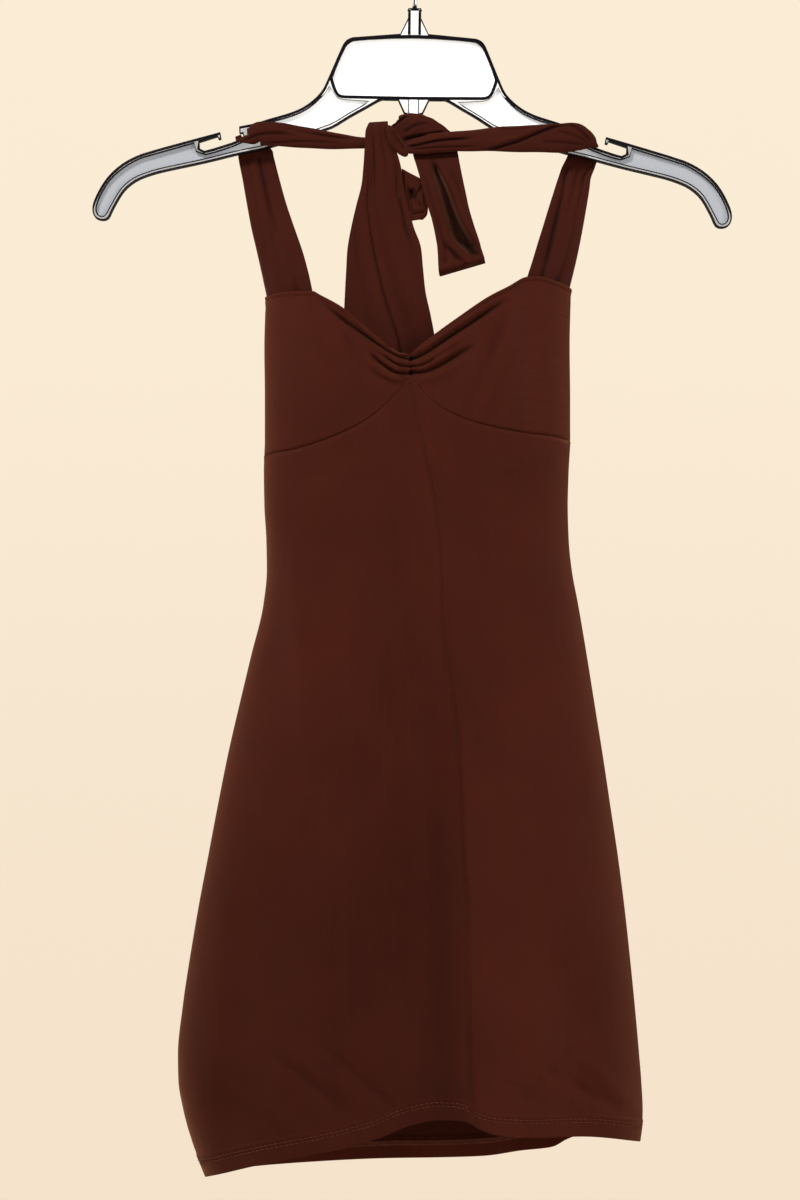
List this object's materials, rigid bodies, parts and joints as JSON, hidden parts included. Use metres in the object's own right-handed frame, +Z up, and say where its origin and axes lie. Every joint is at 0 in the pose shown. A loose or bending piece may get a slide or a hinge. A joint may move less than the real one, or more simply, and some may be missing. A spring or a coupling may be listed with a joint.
{
  "type": "halter dress on a hanger",
  "caption": "Short stretch-jersey halter dress with a gathered sweetheart bodice and knotted neck ties, hung on a clear moulded top hanger with a wire hook.",
  "frame": {"origin": "the point inside the top of the hook where a rail holds it", "axes": "+Z up, the front of the dress faces -Y, +X to the right as seen from the front"},
  "size_m": [0.4318, 0.1182, 0.8531],
  "materials": {
    "jersey": "fine matte stretch jersey, dark warm brown",
    "tie_jersey": "the same jersey doubled, a little darker",
    "clear_plastic": "clear moulded plastic with a milky web and smoky rim",
    "steel": "bright plated wire"
  },
  "bodies": {
    "root": {"cup_left": "jersey", "cup_right": "jersey", "bodice_back": "jersey", "skirt_front_left": "jersey", "skirt_front_right": "jersey", "skirt_back": "jersey", "strap_left": "tie_jersey", "strap_right": "tie_jersey", "tie_left": "tie_jersey", "tie_right": "tie_jersey", "tail_left": "tie_jersey", "loop_right": "tie_jersey", "knot_wrap": "tie_jersey", "knot_sling": "tie_jersey", "hanger_body": "clear_plastic", "hook": "steel"}
  },
  "joints": []
}
